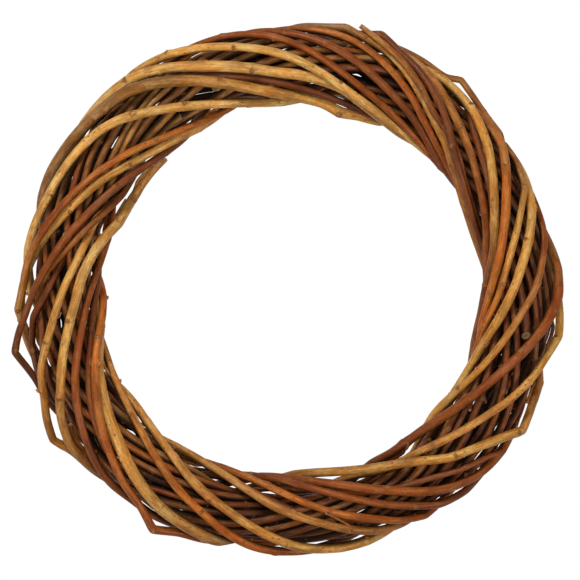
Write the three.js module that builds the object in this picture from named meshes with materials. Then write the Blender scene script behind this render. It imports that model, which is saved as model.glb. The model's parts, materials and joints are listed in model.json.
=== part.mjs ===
// A wreath of long willow rods, twisted round one another into a ring that holds itself together.
// Millimetres, +Z up. The wreath lies on z = 0 with the middle of its box on the Z axis.
// Clock angles run clockwise from the top of the wreath (+Y), seen from above, in degrees.

import * as THREE from 'three';

// Driving dimensions
const ringRadius = 127;
const middleHeight = 18.4;
const surfaceLay = 19.3;
const surfaceLaySpread = 1.4;
const depthShare = 0.87;
const tuckedLay = 8;
const tuckTurn = 44;
const tuckTwist = 160;
const innerLaySpread = 0.08;
const innerTwistRate = 2.6;
const innerStretches = 12;
const barkGap = 0.3;
const shapeSeed = 11;

// Fineness of the solids
const rodSides = 6;
const cornerShare = 1.07;
const flatShare = Math.cos(Math.PI / rodSides);
const longestStep = 15.5;
const longestInnerStep = 22;
const slantShare = 1.1;
const flattened = 0.08;

// How the rods settle against each other. Give is how easily a rod is pressed aside, and hold is how
// strongly it is drawn back to its course in each round. The front reaches frontMargin degrees of twist
// past the upper half, where the rod lies at least frontLay from the middle circle.
const rounds = 260;
const closingRounds = 120;
const roundsPerLook = 20;
const lookAround = 9;
const ownNeighbours = 3;
const frontMargin = 10;
const frontLay = 14.5;
const stiffness = 0.5;
const hold = 0.02;
const holdInFront = 0.3;
const giveInFront = 0.15;
const giveBehind = 0.5;
const giveInside = 1;

// Bark
const bark = {
  gold: 0xc08a35,
  olive: 0xa9803a,
  orange: 0xad6428,
  brown: 0x855030,
  reddish: 0x83432a,
  dark: 0x4f3123,
  grey: 0x8a6f58,
};
const barkRoughness = 0.55;

// A rod's course is a list of crossings over the front of the bundle. In a crossing, over is a list of
// [clock, reach]: reach is how far outside (+) or inside (-) the ring's middle circle the rod's centre
// lies. It starts at the outer edge, goes over the top where reach is 0, and ends at the inner edge.
// From there the rod returns underneath to the outer edge of its next crossing.
// An elbow [clock, push, before, after] is a sharp bend that stands out from the bundle by push.
// A dip [clock, depth, spread] is where the rod passes under others.
const surfaceRods = [
  {
    name: 'willow_rod_01', colour: bark.gold, butt: 7.2, tip: 4.4, cutStart: true,
    crossings: [
      { over: [[191.5, 18.3], [200, 16.6], [210, 13.4], [220, 6.8], [229.3, 0], [240, -6.7],
        [258, -17.5]],
        dip: [250, 4, 12] },
      { over: [[315, 21.1], [325, 18.7], [330, 15], [340, 5.3], [347, 0], [355, -5.4], [5, -7.9],
        [30, -17.5]],
        dip: [14, 3, 12] },
      { over: [[88, 22.6], [95, 18.5], [100, 12.5], [109.5, 0], [120, -10.5], [130, -17.5],
        [148, -22.5]],
        dip: [148, 2, 12] },
      { over: [[206, 21.6], [220, 15.1], [225, 10.4], [236, 0], [245, -8], [255, -16], [268, -21.6]],
        elbow: [210, 5, 5, 5] },
    ],
  },
  {
    name: 'willow_rod_02', colour: bark.gold, butt: 4.9, tip: 4.3,
    crossings: [
      { over: [[324, 22.3], [335, 19.2], [345, 13], [355, 6.3], [2.7, 0], [10, -6.9], [20, -14.2],
        [40, -19.1]] },
      { over: [[96, 22.5], [105, 19.7], [110, 15.1], [115, 9.9], [124, 0], [135, -8.8],
        [145, -15.5], [158, -18.5]],
        elbow: [99.5, 2, 7, 4], dip: [150, 4, 16] },
      { over: [[214, 20.5], [225, 18.7], [235, 12.5], [249.5, 0], [260, -9.8], [270, -16], [284, -21]],
        dip: [215, 2, 8] },
      { over: [[341, 19.2], [350, 17.7], [0, 10.9], [10.5, 0], [20, -8.3], [30, -13.9], [46, -17.8]] },
    ],
  },
  {
    name: 'willow_rod_03', colour: bark.gold, butt: 5.6, tip: 4.2,
    crossings: [
      { over: [[114, 22.3], [121, 21], [125, 15.5], [130, 7.8], [136.8, 0], [145, -11.3],
        [155, -18.6], [175, -25]],
        elbow: [121, 2.5, 5, 3] },
      { over: [[240, 24.2], [250, 20.2], [260, 8.3], [269, 0], [280, -8.2], [290, -13], [301, -18.3]],
        elbow: [238, 4.5, 4, 8], dip: [290, 3, 12] },
      { over: [[353, 18.2], [0, 15.9], [8, 11.6], [15, 6], [22, 0], [30, -5.9], [40, -12.1],
        [55, -17.2]] },
    ],
  },
  {
    name: 'willow_rod_04', colour: bark.reddish, butt: 4.4, tip: 4.4,
    crossings: [
      { over: [[139, 20], [145, 17.2], [150, 10.4], [158, 0], [165, -8.7], [175, -17.5],
        [187, -22.2]] },
      { over: [[256, 24], [263, 22.5], [268, 17.6], [275, 9.3], [283.5, 0], [290, -6.1],
        [300, -14.1], [322, -24]],
        elbow: [257.5, 6, 6, 7] },
      { over: [[17, 21.5], [28, 16.1], [35, 8.1], [42, 0], [50, -8.7], [60, -15.2], [72, -17.7]],
        elbow: [19.5, 3, 4, 5] },
    ],
  },
  {
    name: 'willow_rod_05', colour: bark.orange, butt: 4.4, tip: 5,
    crossings: [
      { over: [[149, 18.5], [155, 13.5], [160, 7.2], [167, 0], [175, -8.2], [185, -16.5],
        [199, -21.4]] },
      { over: [[265, 23.6], [275, 19.2], [285, 9.4], [294, 0], [300, -5.5], [310, -15],
        [320, -20.4], [332, -22.7]] },
      { over: [[25, 19], [30, 17.4], [40, 8.9], [51, 0], [60, -6.1], [70, -10.5], [80, -15.5],
        [91, -17.3]] },
    ],
  },
  {
    name: 'willow_rod_06', colour: bark.gold, butt: 5.6, tip: 4,
    crossings: [
      { over: [[34, 18], [45, 14.6], [55, 7.2], [62.5, 0], [70, -5.9], [80, -11.3], [97, -17.5]] },
      { over: [[152, 17], [160, 14.5], [170, 4.7], [175, 0], [185, -7.8], [195, -15.5], [209, -19.7]] },
      { over: [[264, 22.5], [275, 20.2], [285, 12.5], [299.3, 0], [310, -8.8], [320, -16],
        [336, -20.4]],
        elbow: [266, 2.5, 5, 5] },
    ],
  },
  {
    name: 'willow_rod_07', colour: bark.gold, butt: 5.6, tip: 5.1,
    crossings: [
      { over: [[165, 18.3], [175, 16.6], [185, 9.3], [195.5, 0], [205, -6.7], [215, -13.9],
        [232, -19.4]] },
      { over: [[279, 20.3], [290, 17.9], [300, 15.3], [310, 10.9], [315, 6.8], [321, 0],
        [330, -9], [354, -21.1]] },
      { over: [[50, 17], [60, 10.4], [65, 4.7], [69, 0], [75, -5.7], [85, -13.1], [99, -18]] },
    ],
  },
  {
    name: 'willow_rod_08', colour: bark.grey, butt: 7, tip: 4.4,
    crossings: [
      { over: [[296, 21.3], [310, 19], [320, 16.2], [330, 7], [336.5, 0], [345, -8.3],
        [355, -15.5], [20, -21.8]],
        elbow: [16, 1.8, 6, 5] },
      { over: [[64, 16.2], [70, 14.5], [80, 5.3], [86, 0], [95, -8.2], [105, -15.5], [119, -19.1]] },
      { over: [[180, 18.2], [190, 15.5], [200, 6.8], [209, 0], [220, -8.7], [230, -14.4], [251, -18]] },
    ],
  },
  {
    name: 'willow_rod_09', colour: bark.orange, butt: 4, tip: 4.8,
    crossings: [
      { over: [[318, 17.5], [325, 13.9], [330, 9.4], [339.5, 0], [350, -8.8], [0, -13.9], [21, -19]],
        dip: [335, 3, 34] },
      { over: [[74, 16.8], [85, 12], [90, 8], [97.3, 0], [105, -7.2], [115, -15], [128, -20.5]] },
    ],
  },
  {
    name: 'willow_rod_10', colour: bark.olive, butt: 4.4, tip: 5.8, cutEnd: true,
    crossings: [
      { over: [[9, 21], [15, 20.6], [20, 17.4], [30, 7.9], [36.5, 0], [45, -7.2], [55, -14.4],
        [68, -17.7]],
        elbow: [12, 2, 4, 3] },
      { over: [[128, 20.5], [140, 14.5], [145, 8.9], [150.7, 0], [160, -10.3], [170, -18.3],
        [185, -22.5]] },
      { over: [[232, 23.1], [238, 21.3], [245, 13.5], [258, 0], [265, -6.1], [275, -11.9], [285, -19.1],
        [299, -25], [317, -25.5]] },
    ],
  },
  {
    name: 'willow_rod_11', colour: bark.orange, butt: 3.7, tip: 4.3,
    crossings: [
      { over: [[250, 13.5], [263, 12], [270.5, 12.6], [275, 5.8], [279.5, 0], [285, -6.7], [290, -11.8],
        [300, -18.5]] },
      { over: [[3, 19], [15, 15.5], [25, 6.8], [32, 0], [40, -7.8], [50, -14.4], [63, -17.2]] },
    ],
  },
  {
    name: 'willow_rod_12', colour: bark.reddish, butt: 3.6, tip: 3.2, cutStart: true,
    crossings: [
      { over: [[14.5, 26], [20, 20], [25, 15.5], [30, 10.5], [39, 0], [50, -8], [66, -14.5]],
        dip: [45, 4, 14] },
      { over: [[124, 18.8], [130, 16], [138, 8.3], [147, 0], [160, -9], [180, -16]],
        elbow: [127, 3, 4, 3], dip: [150, 5, 18] },
    ],
  },
  {
    name: 'willow_rod_13', colour: bark.orange, butt: 4.2, tip: 4,
    crossings: [
      { over: [[60, 17.4], [66, 15.2], [70, 9.4], [77.3, 0], [85, -7.8], [95, -14.2], [106, -18.3]] },
      { over: [[215, 12], [235, 4.2], [241, 0], [250, -8.2], [260, -15.5], [273, -19.3]] },
    ],
  },
  {
    name: 'willow_rod_14', colour: bark.reddish, butt: 4, tip: 3.6,
    crossings: [
      { over: [[36, 13], [50, 4], [58, 0], [65, -5.2], [70, -8.6], [80, -14], [94, -17]],
        dip: [68, 3, 16] },
      { over: [[150, 16], [160, 11], [170, 0], [182, -9], [200, -16]],
        dip: [170, 5, 26] },
    ],
  },
  {
    name: 'willow_rod_15', colour: bark.dark, butt: 4.3, tip: 3.4,
    crossings: [
      { over: [[252, 20.5], [257, 21], [263, 17.7], [267, 14], [276, 4], [280, 0], [292, -9],
        [312, -16]],
        dip: [278, 5, 16] },
      { over: [[36, 19.8], [45, 22.2], [50, 20], [57, 15], [66, 6], [71, 0], [80, -9], [96, -15]],
        elbow: [39, 4, 3, 8], dip: [68, 4, 16] },
    ],
  },
];

// Rods inside the bundle, wound the other way. Each runs from one clock angle on for turn degrees round the
// ring, and starts at the twist angle start.
const innerRods = [
  { name: 'inner_rod_1', colour: bark.brown, butt: 3.8, tip: 5.4,
    lay: 13, from: 263, turn: 560, start: 94 },
  { name: 'inner_rod_2', colour: bark.olive, butt: 3.6, tip: 5.2,
    lay: 13, from: 304, turn: 560, start: 126 },
  { name: 'inner_rod_3', colour: bark.orange, butt: 4.8, tip: 3.8,
    lay: 13, from: 339, turn: 560, start: 133 },
  { name: 'inner_rod_4', colour: bark.dark, butt: 4.8, tip: 3.8,
    lay: 12.5, from: 24, turn: 560, start: 174 },
  { name: 'inner_rod_5', colour: bark.brown, butt: 4.6, tip: 3.6,
    lay: 13, from: 75, turn: 560, start: 281 },
  { name: 'inner_rod_6', colour: bark.reddish, butt: 4.6, tip: 3.8,
    lay: 12.5, from: 128, turn: 560, start: 183 },
  { name: 'inner_rod_7', colour: bark.orange, butt: 4.2, tip: 3.6,
    lay: 13, from: 168, turn: 560, start: 239 },
  { name: 'inner_rod_8', colour: bark.gold, butt: 4.4, tip: 3.6,
    lay: 13, from: 212, turn: 560, start: 205 },
  { name: 'core_rod_1', colour: bark.dark, butt: 6, tip: 4.6,
    lay: 4.5, from: 20, turn: 420, start: 40 },
  { name: 'core_rod_2', colour: bark.dark, butt: 5.6, tip: 4.2,
    lay: 4.5, from: 165, turn: 420, start: 220 },
];

const { degToRad, radToDeg, clamp, lerp, euclideanModulo } = THREE.MathUtils;

function seededDraws(seed) {
  let count = seed;
  return () => {
    count += 1;
    return THREE.MathUtils.seededRandom(count);
  };
}

// A station on a rod: its clock angle, its twist angle round the bundle (0 outer edge, 90 over the top,
// 180 inner edge, 270 underneath) and its lay, the distance from the ring's middle circle.
function station(clock, twist, lay) {
  return { clock, twist, lay };
}

// Clock angles go on past 360 along a rod, so that each is larger than the one before.
function unwound(crossings) {
  let latest = -Infinity;
  return crossings.map((crossing) => {
    const over = crossing.over.map(([clock, reach]) => {
      const turns = Math.max(0, Math.ceil((latest - clock) / 360));
      latest = clock + 360 * turns;
      return [latest, reach];
    });
    const middle = (over[0][0] + latest) / 2;
    const beside = ([clock, ...sizes]) => [clock + 360 * Math.round((middle - clock) / 360), ...sizes];
    const elbow = crossing.elbow && beside(crossing.elbow);
    const dip = crossing.dip && beside(crossing.dip);
    return { over, elbow, dip };
  });
}

function crossingStations(over, turnsBefore) {
  const [outerClock, outerReach] = over[0];
  const [innerClock, innerReach] = over[over.length - 1];
  return over.map(([clock, reach]) => {
    const along = (clock - outerClock) / (innerClock - outerClock);
    const lay = lerp(outerReach, -innerReach, along);
    const twist = radToDeg(Math.acos(clamp(reach / lay, -1, 1)));
    return station(clock, twist + 360 * turnsBefore, lay);
  });
}

// From an end that isn't seen, the rod goes on into the bundle and is tucked in near the middle.
function tuckedEnd(from, way) {
  const halfwayLay = (surfaceLay + tuckedLay) / 2;
  return [
    station(from.clock + (way * tuckTurn) / 2, from.twist + (way * tuckTwist) / 2, halfwayLay),
    station(from.clock + way * tuckTurn, from.twist + way * tuckTwist, tuckedLay),
  ];
}

function surfaceStations(rod, crossings, draw) {
  const stations = [];
  crossings.forEach(({ over }, turnsBefore) => {
    if (turnsBefore > 0) {
      const underneath = (stations[stations.length - 1].clock + over[0][0]) / 2;
      const lay = surfaceLay + surfaceLaySpread * (2 * draw() - 1);
      stations.push(station(underneath, 360 * turnsBefore - 90, lay));
    }
    stations.push(...crossingStations(over, turnsBefore));
  });
  const start = rod.cutStart ? [] : tuckedEnd(stations[0], -1).reverse();
  const end = rod.cutEnd ? [] : tuckedEnd(stations[stations.length - 1], 1);
  return [...start, ...stations, ...end];
}

function innerStations(rod, draw) {
  return Array.from({ length: innerStretches + 1 }, (_, i) => {
    const along = (rod.turn * i) / innerStretches;
    const lay = rod.lay * (1 + innerLaySpread * (2 * draw() - 1));
    return station(rod.from + along, rod.start - innerTwistRate * along, lay);
  });
}

// A smooth curve through the values at the knots that never swings past them.
function steadyCurve(knots, values) {
  const last = knots.length - 1;
  const rise = (i) => (values[i + 1] - values[i]) / (knots[i + 1] - knots[i]);
  const slopes = knots.map((_, i) => {
    const before = rise(Math.max(0, i - 1));
    const after = rise(Math.min(last - 1, i));
    return before * after > 0 ? (2 * before * after) / (before + after) : 0;
  });
  return (at) => {
    let i = 0;
    while (i < last - 1 && at > knots[i + 1]) i += 1;
    const span = knots[i + 1] - knots[i];
    const t = clamp((at - knots[i]) / span, 0, 1);
    const step = values[i + 1] - values[i];
    const square = 3 * step - (2 * slopes[i] + slopes[i + 1]) * span;
    const cubic = (slopes[i] + slopes[i + 1]) * span - 2 * step;
    return values[i] + t * (slopes[i] * span + t * (square + t * cubic));
  };
}

function elbowPush(elbows, clock) {
  return elbows.reduce((sum, [at, push, before, after]) => {
    const away = clock < at ? (at - clock) / before : (clock - at) / after;
    return sum + push * Math.max(0, 1 - away);
  }, 0);
}

function dipDepth(dips, clock) {
  return dips.reduce((sum, [at, depth, spread]) => {
    const away = Math.min(1, Math.abs(clock - at) / spread);
    return sum + (depth * (1 + Math.cos(Math.PI * away))) / 2;
  }, 0);
}

function pointOnRing(clock, twist, lay) {
  const fromMiddle = ringRadius + lay * Math.cos(degToRad(twist));
  const height = middleHeight + depthShare * lay * Math.sin(degToRad(twist));
  const round = degToRad(clock);
  return new THREE.Vector3(fromMiddle * Math.sin(round), fromMiddle * Math.cos(round), height);
}

// Even steps along the rod, with one at each corner of an elbow.
function stepClocks(first, last, elbows, longest) {
  const corners = elbows.flatMap(([at, , before, after]) => [at - before, at, at + after]);
  const stops = [first, ...corners, last].sort((a, b) => a - b);
  const clocks = stops.slice(1).flatMap((stop, i) => {
    const stretch = degToRad(stop - stops[i]) * ringRadius * slantShare;
    const count = Math.max(1, Math.ceil(stretch / longest));
    return Array.from({ length: count }, (_, k) => lerp(stops[i], stop, k / count));
  });
  return [...clocks, last];
}

// A rod's course before the rods settle, as steps with the drawn place, the place so far and the radius.
function drawCourse(rod, draw) {
  const onSurface = Boolean(rod.crossings);
  const crossings = unwound(rod.crossings ?? []);
  const elbows = crossings.flatMap(({ elbow }) => (elbow ? [elbow] : []));
  const dips = crossings.flatMap(({ dip }) => (dip ? [dip] : []));
  const stations = onSurface ? surfaceStations(rod, crossings, draw) : innerStations(rod, draw);
  const knots = stations.map(({ clock }) => clock);
  const twistAt = steadyCurve(knots, stations.map(({ twist }) => twist));
  const layAt = steadyCurve(knots, stations.map(({ lay }) => lay));
  const first = knots[0];
  const last = knots[knots.length - 1];
  const clocks = stepClocks(first, last, elbows, onSurface ? longestStep : longestInnerStep);
  const giveAtBack = onSurface ? giveBehind : giveInside;
  return clocks.map((clock) => {
    const twist = twistAt(clock);
    const lay = layAt(clock) + elbowPush(elbows, clock) - dipDepth(dips, clock);
    const drawn = pointOnRing(clock, twist, lay);
    const onUpperHalf = euclideanModulo(twist + frontMargin, 360) < 180 + 2 * frontMargin;
    const inFront = onSurface && onUpperHalf && layAt(clock) > frontLay;
    return {
      drawn,
      point: drawn.clone(),
      radius: lerp(rod.butt, rod.tip, (clock - first) / (last - first)) / 2,
      holdSideways: inFront ? holdInFront : hold,
      give: inFront ? giveInFront : giveAtBack,
    };
  });
}

function spansOf(courses) {
  return courses.flatMap((course, rod) => course.slice(1).map((b, i) => {
    const a = course[i];
    return { rod, i, a, b, line: new THREE.Line3(a.point, b.point) };
  }));
}

function nearbyPairs(spans) {
  const pairs = [];
  const middles = spans.map(({ line }) => line.getCenter(new THREE.Vector3()));
  const reaches = spans.map(({ line, a }) => line.distance() / 2 + a.radius + lookAround / 2);
  spans.forEach((one, m) => {
    for (let n = m + 1; n < spans.length; n += 1) {
      const other = spans[n];
      const sameStretch = one.rod === other.rod && other.i - one.i < ownNeighbours;
      const near = middles[m].distanceTo(middles[n]) < reaches[m] + reaches[n];
      if (near && !sameStretch) pairs.push([one, other]);
    }
  });
  return pairs;
}

const onOne = new THREE.Vector3();
const onOther = new THREE.Vector3();
const push = new THREE.Vector3();

// Presses two stretches of rod apart until there is barkGap between them.
function pressApart([one, other]) {
  const apart = Math.sqrt(one.line.distanceSqToLine3(other.line, onOne, onOther));
  const s = onOne.distanceTo(one.a.point) / one.line.distance();
  const t = onOther.distanceTo(other.a.point) / other.line.distance();
  const radii = lerp(one.a.radius, one.b.radius, s) + lerp(other.a.radius, other.b.radius, t);
  const missing = radii * cornerShare + barkGap - apart;
  if (missing <= 0) return;
  const oneGive = one.a.give * (1 - s) ** 2 + one.b.give * s ** 2;
  const otherGive = other.a.give * (1 - t) ** 2 + other.b.give * t ** 2;
  push.subVectors(onOne, onOther).normalize().multiplyScalar(missing / (oneGive + otherGive));
  one.a.point.addScaledVector(push, one.a.give * (1 - s));
  one.b.point.addScaledVector(push, one.b.give * s);
  other.a.point.addScaledVector(push, -other.a.give * (1 - t));
  other.b.point.addScaledVector(push, -other.b.give * t);
}

function drawBack(step, ease) {
  const { point, drawn } = step;
  point.x = lerp(point.x, drawn.x, step.holdSideways * ease);
  point.y = lerp(point.y, drawn.y, step.holdSideways * ease);
  point.z = lerp(point.z, drawn.z, hold * ease);
}

// A rod is stiff, so how far it has given way changes only slowly along it.
function stiffen(course, ease) {
  const given = course.map(({ point, drawn }) => point.clone().sub(drawn));
  course.forEach(({ point, drawn }, i) => {
    const before = given[Math.max(0, i - 1)];
    const after = given[Math.min(course.length - 1, i + 1)];
    const even = before.clone().add(after).multiplyScalar(0.5);
    point.copy(given[i]).lerp(even, stiffness * ease).add(drawn);
  });
}

function keepAboveTable({ point, radius }) {
  point.z = Math.max(point.z, radius * cornerShare * flatShare);
}

// Bends the courses clear of each other, as the rods press one another aside when the wreath is twisted. In
// front they keep their place seen from above and give way in height.
function settle(courses) {
  const spans = spansOf(courses);
  let pairs = [];
  for (let round = 0; round < rounds + closingRounds; round += 1) {
    if (round % roundsPerLook === 0) pairs = nearbyPairs(spans);
    const ease = Math.max(0, 1 - round / rounds);
    courses.forEach((course) => {
      course.forEach((step) => drawBack(step, ease));
      stiffen(course, ease);
    });
    pairs.forEach(pressApart);
    courses.flat().forEach(keepAboveTable);
  }
}

// The corners of the rod's section at one step, with a flat side down.
function sectionCorners(course, i) {
  const { point, radius } = course[i];
  const before = course[Math.max(0, i - 1)].point;
  const after = course[Math.min(course.length - 1, i + 1)].point;
  const arriving = point.clone().sub(before).normalize();
  const leaving = after.clone().sub(point).normalize();
  const along = arriving.add(leaving).normalize();
  const side = new THREE.Vector3(0, 0, 1).cross(along).normalize();
  const rise = along.clone().cross(side);
  return Array.from({ length: rodSides }, (_, k) => {
    const angle = (2 * Math.PI * k) / rodSides;
    const reach = radius * cornerShare;
    const corner = point.clone();
    corner.addScaledVector(side, reach * Math.cos(angle));
    corner.addScaledVector(rise, reach * Math.sin(angle));
    if (corner.z < flattened) corner.z = 0;
    return corner;
  });
}

// A tapering rod with square cut ends.
function rodGeometry(course) {
  const last = course.length - 1;
  const corners = course.flatMap((_, i) => sectionCorners(course, i));
  const startCentre = corners.push(course[0].point) - 1;
  const endCentre = corners.push(course[last].point) - 1;
  const triangles = [];
  for (let k = 0; k < rodSides; k += 1) {
    const next = (k + 1) % rodSides;
    for (let i = 0; i < last; i += 1) {
      const here = i * rodSides;
      const ahead = here + rodSides;
      triangles.push(here + k, here + next, ahead + k, here + next, ahead + next, ahead + k);
    }
    triangles.push(startCentre, next, k);
    triangles.push(endCentre, last * rodSides + k, last * rodSides + next);
  }
  const geometry = new THREE.BufferGeometry().setFromPoints(corners);
  geometry.setIndex(triangles);
  geometry.computeVertexNormals();
  return geometry;
}

function buildWreath() {
  const draw = seededDraws(shapeSeed);
  const rods = [...surfaceRods, ...innerRods];
  const courses = rods.map((rod) => drawCourse(rod, draw));
  settle(courses);

  const wreath = new THREE.Group();
  wreath.name = 'willow_wreath';
  rods.forEach(({ name, colour }, i) => {
    const look = { color: colour, roughness: barkRoughness, metalness: 0 };
    const mesh = new THREE.Mesh(rodGeometry(courses[i]), new THREE.MeshStandardMaterial(look));
    mesh.name = name;
    wreath.add(mesh);
  });

  const middle = new THREE.Box3().setFromObject(wreath, true).getCenter(new THREE.Vector3());
  wreath.children.forEach((mesh) => mesh.geometry.translate(-middle.x, -middle.y, 0));
  return wreath;
}

export default buildWreath();
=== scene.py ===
"""Willow wreath: long rods with their bark, leaf joints, buds, side stubs and cut ends.

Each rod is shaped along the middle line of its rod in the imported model, so it keeps that rod's course,
thickness and neighbours. Run as a script, it builds the wreath and its stage.
"""

import json
import math
from collections import namedtuple

import bmesh
import bpy
import numpy as np
from bpy.props import FloatProperty, FloatVectorProperty, IntProperty, PointerProperty
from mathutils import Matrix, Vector


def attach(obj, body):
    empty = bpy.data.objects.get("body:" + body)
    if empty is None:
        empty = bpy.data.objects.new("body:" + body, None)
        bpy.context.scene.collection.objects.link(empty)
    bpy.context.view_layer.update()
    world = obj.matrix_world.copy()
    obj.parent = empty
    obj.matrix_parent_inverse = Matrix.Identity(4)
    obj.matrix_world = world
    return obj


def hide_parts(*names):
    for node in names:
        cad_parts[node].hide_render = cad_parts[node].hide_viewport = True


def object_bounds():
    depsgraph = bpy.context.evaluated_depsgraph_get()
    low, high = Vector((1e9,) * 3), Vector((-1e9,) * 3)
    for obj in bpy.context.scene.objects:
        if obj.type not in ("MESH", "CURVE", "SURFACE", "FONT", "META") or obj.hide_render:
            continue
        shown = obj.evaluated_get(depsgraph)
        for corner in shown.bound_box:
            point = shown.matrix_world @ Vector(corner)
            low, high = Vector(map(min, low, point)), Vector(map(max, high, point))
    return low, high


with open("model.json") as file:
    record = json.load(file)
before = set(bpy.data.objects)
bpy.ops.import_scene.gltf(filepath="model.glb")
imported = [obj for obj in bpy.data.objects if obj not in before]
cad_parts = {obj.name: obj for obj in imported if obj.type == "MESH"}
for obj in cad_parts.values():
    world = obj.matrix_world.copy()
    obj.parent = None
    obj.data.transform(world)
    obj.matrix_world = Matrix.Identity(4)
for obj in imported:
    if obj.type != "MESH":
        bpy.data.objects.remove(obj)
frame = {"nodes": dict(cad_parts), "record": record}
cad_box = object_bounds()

bl_info = {
    "name": "Willow Wreath",
    "version": (1, 0, 0),
    "blender": (4, 5, 0),
    "location": "3D View > Sidebar > Wreath",
    "description": "Shapes and finishes the rods of a willow wreath",
    "category": "Object",
}

# The middle of the ring, the middle line of its bundle, and where in the bundle painted shade darkens the
# bark.
MM = 0.001
RING_CENTRE = (1.64 * MM, -1.018 * MM)
RING_RADIUS = 127 * MM
BUNDLE_HEIGHT = 18.4 * MM
BUNDLE_RADIUS = 23 * MM
SHADE_DEPTH = 4 * MM
CORE_RADIUS = 4 * MM
CORE_EDGE = 9 * MM

# A packed rod's corners stand this much further out than the round rod's bark.
CORNER_SHARE = 1.07

# The broad stretches of bark along each rod, from butt to tip, as judged: [clock angle, colour].
# Clock angles run clockwise from the top, and each lies further on round the ring than the one before.
BARK_ALONG = {
    "willow_rod_01": [
        [192, "grey"], [220, "gold"], [300, "bright_gold"], [10, "bright_gold"], [95, "rust"],
        [150, "umber"], [210, "rust"], [250, "orange"],
    ],
    "willow_rod_02": [
        [324, "bright_gold"], [20, "bright_gold"], [100, "gold"], [140, "ochre"], [220, "umber"],
        [250, "rust"], [20, "rust"],
    ],
    "willow_rod_03": [
        [114, "brown"], [130, "gold"], [180, "olive"], [240, "ochre"], [270, "gold"], [300, "gold"],
        [350, "rust"], [40, "umber"],
    ],
    "willow_rod_04": [
        [140, "umber"], [165, "rust"], [190, "umber"], [250, "dark"], [285, "rust"], [310, "umber"],
    ],
    "willow_rod_05": [
        [148, "rust"], [180, "orange"], [210, "brown"], [270, "gold"], [310, "gold"], [30, "ochre"],
        [65, "rust"],
    ],
    "willow_rod_06": [
        [34, "gold"], [60, "gold"], [90, "umber"], [155, "brown"], [190, "ochre"], [265, "ochre"],
        [285, "rust"], [310, "orange"],
    ],
    "willow_rod_07": [
        [120, "umber"], [165, "gold"], [200, "ochre"], [240, "gold"], [285, "bright_gold"],
        [350, "bright_gold"], [40, "brown"], [70, "orange"],
    ],
    "willow_rod_08": [
        [296, "grey"], [330, "olive"], [10, "gold"], [115, "gold"], [180, "rust"], [210, "orange"],
        [245, "ochre"],
    ],
    "willow_rod_09": [[318, "umber"], [20, "dark"], [80, "rust"], [100, "ochre"], [125, "gold"]],
    "willow_rod_10": [
        [9, "grey"], [35, "gold"], [60, "brown"], [155, "rust"], [225, "umber"], [250, "gold"],
        [275, "bright_gold"], [315, "ochre"],
    ],
    "willow_rod_11": [[250, "umber"], [275, "brown"], [300, "umber"], [15, "orange"], [40, "rust"]],
    "willow_rod_12": [[14, "ochre"], [40, "umber"], [120, "rust"], [148, "umber"]],
    "willow_rod_13": [[60, "brown"], [75, "gold"], [95, "orange"], [225, "rust"], [265, "umber"]],
    "willow_rod_14": [[36, "umber"], [205, "umber"]],
    "willow_rod_15": [[248, "dark"], [280, "umber"], [320, "dark"], [50, "brown"]],
    # On the inner rods, the dark and umber stretches are partly darker bark and partly painted shade for
    # the deep gaps between the rods in front.
    "inner_rod_1": [
        [263, "orange"], [320, "brown"], [90, "rust"], [185, "umber"], [300, "brown"], [95, "umber"],
    ],
    "inner_rod_2": [
        [304, "ochre"], [30, "umber"], [145, "rust"], [208, "olive"], [250, "rust"], [20, "umber"],
        [140, "brown"],
    ],
    "inner_rod_3": [
        [339, "brown"], [60, "rust"], [185, "dark"], [250, "rust"], [320, "ochre"], [60, "umber"],
        [150, "rust"],
    ],
    "inner_rod_4": [
        [24, "umber"], [140, "brown"], [185, "umber"], [310, "ochre"], [60, "rust"], [190, "umber"],
    ],
    "inner_rod_5": [
        [75, "rust"], [145, "brown"], [190, "umber"], [315, "brown"], [90, "umber"], [230, "rust"],
    ],
    "inner_rod_6": [
        [128, "rust"], [185, "dark"], [310, "brown"], [30, "umber"], [145, "rust"], [190, "umber"],
        [310, "ochre"],
    ],
    "inner_rod_7": [
        [168, "umber"], [250, "orange"], [330, "ochre"], [90, "umber"], [180, "umber"], [270, "rust"],
    ],
    "inner_rod_8": [
        [212, "olive"], [270, "rust"], [0, "umber"], [145, "brown"], [200, "umber"], [320, "ochre"],
    ],
    # The core rods are dark all along: painted shade for the middle of the bundle.
    "core_rod_1": [[20, "dark"], [200, "dark"]],
    "core_rod_2": [[165, "dark"], [345, "dark"]],
}

# Leaf joints that show in front, as clock angles in the same order along the rod.
JOINTS_IN_FRONT = {
    "willow_rod_01": [322, 105, 210, 256],
    "willow_rod_02": [347, 100, 137, 261],
    "willow_rod_03": [122, 135, 258, 285, 8],
    "willow_rod_04": [150, 258, 300, 19, 48],
    "willow_rod_05": [170, 290, 308, 46],
    "willow_rod_06": [44, 166, 266, 318],
    "willow_rod_07": [163, 201, 292, 330, 60, 90],
    "willow_rod_08": [311, 314, 341, 15, 78, 104, 202, 232],
    "willow_rod_09": [88, 120],
    "willow_rod_10": [17, 52, 154, 245, 262, 300],
    "willow_rod_11": [285, 20],
    "willow_rod_12": [33, 135],
    "willow_rod_13": [66, 88, 250],
    "willow_rod_15": [257, 47],
}

# Cut ends that show: which end of the rod, how steep the cut is, the way its face looks, and the share of
# its thickness that the rod keeps there, over what length.
UP = (0, 0, 1)
ENDS_IN_FRONT = {
    ("willow_rod_01", "first"): (1.8, (-0.35, -0.93, 0.1), 0.92, 20 * MM),
    ("willow_rod_10", "last"): (0.45, UP, 0.68, 40 * MM),
    ("willow_rod_12", "first"): (0.7, UP, 0.80, 25 * MM),
    ("inner_rod_1", "last"): (0.8, (0.25, -0.2, 1), 0.95, 10 * MM),
    ("inner_rod_2", "last"): (1.0, UP, 1.0, 10 * MM),
    ("inner_rod_3", "first"): (1.3, UP, 1.0, 10 * MM),
}

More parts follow.
